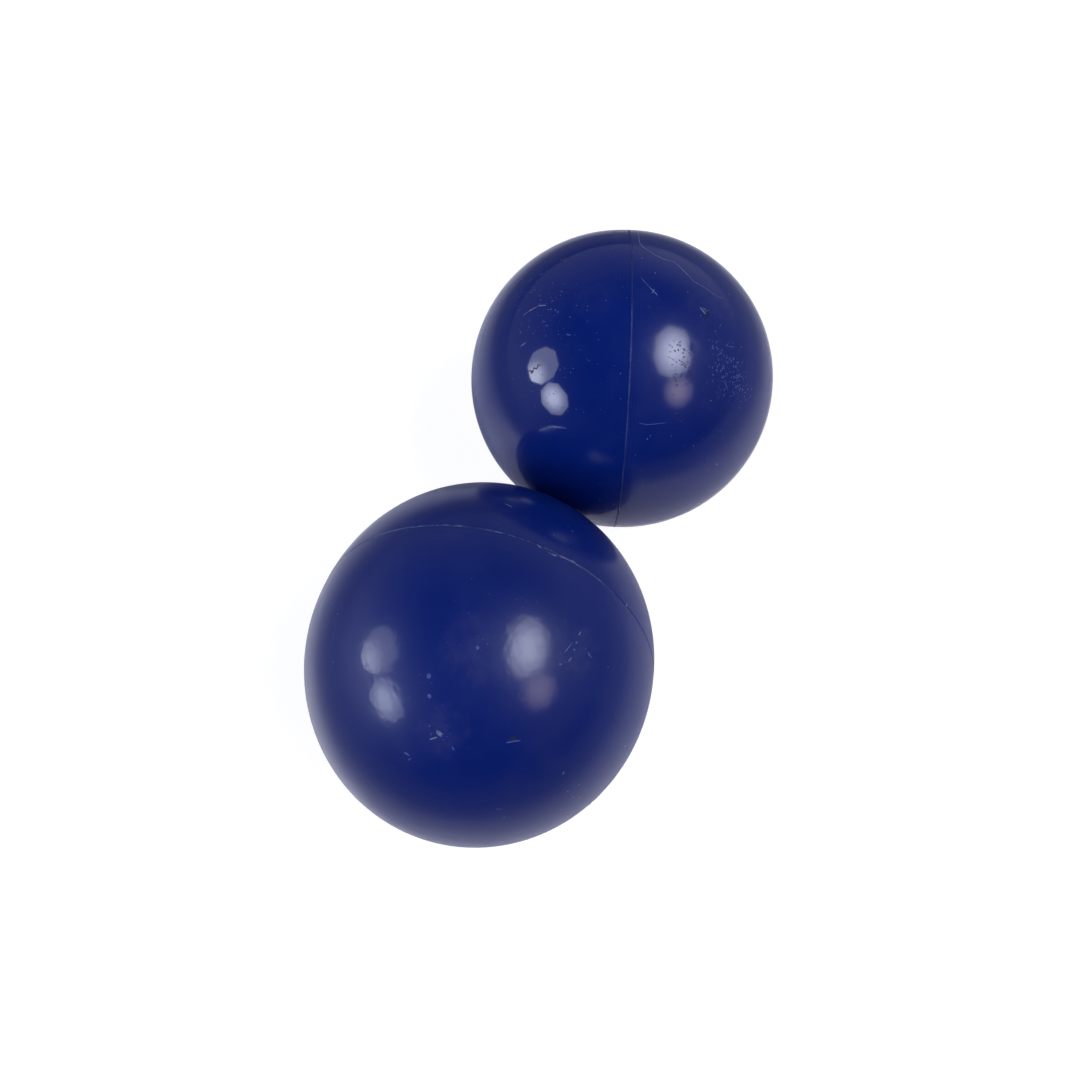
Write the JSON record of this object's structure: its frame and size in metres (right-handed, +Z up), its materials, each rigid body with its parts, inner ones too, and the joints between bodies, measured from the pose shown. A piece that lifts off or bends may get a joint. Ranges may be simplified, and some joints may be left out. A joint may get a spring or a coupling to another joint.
{
  "type": "bocce ball set",
  "caption": "Equal round bocce balls lying side by side, each a welded plastic shell with a thin seam bead, a flush fill plug and loose ballast inside; they roll and turn freely.",
  "frame": {"origin": "on the ground, midway between the two balls", "axes": "+Z up, +X from the front ball's centre towards the rear ball's centre"},
  "size_m": [0.2161, 0.1082, 0.1076],
  "materials": {
    "shell": "gloss",
    "weld": "satin",
    "plug": "satin",
    "ballast": "matte"
  },
  "bodies": {
    "front_load": {"front_ballast": "ballast"},
    "front_ball": {"front_half_plain": "shell", "front_half_with_hole": "shell", "front_weld_bead": "weld", "front_fill_plug": "plug"},
    "rear_load": {"rear_ballast": "ballast"},
    "rear_ball": {"rear_half_plain": "shell", "rear_half_with_hole": "shell", "rear_weld_bead": "weld", "rear_fill_plug": "plug"}
  },
  "joints": [
    {"name": "front_spin", "type": "hinge", "parent": "front_load", "child": "front_ball", "pos_m": [-0.054, 0, 0.05382], "axis": [0, 1, 0], "continuous": true},
    {"name": "rear_travel", "type": "slide", "parent": "front_load", "child": "rear_load", "axis": [1, 0, 0], "range_m": [0, 0.5]},
    {"name": "rear_roll", "type": "hinge", "parent": "rear_load", "child": "rear_ball", "pos_m": [0.0543, 0, 0.05369], "axis": [0, 1, 0], "continuous": true}
  ],
  "couplings": [
    {"joint": "rear_roll", "follows": "rear_travel", "rad_per_m": 18.63}
  ]
}
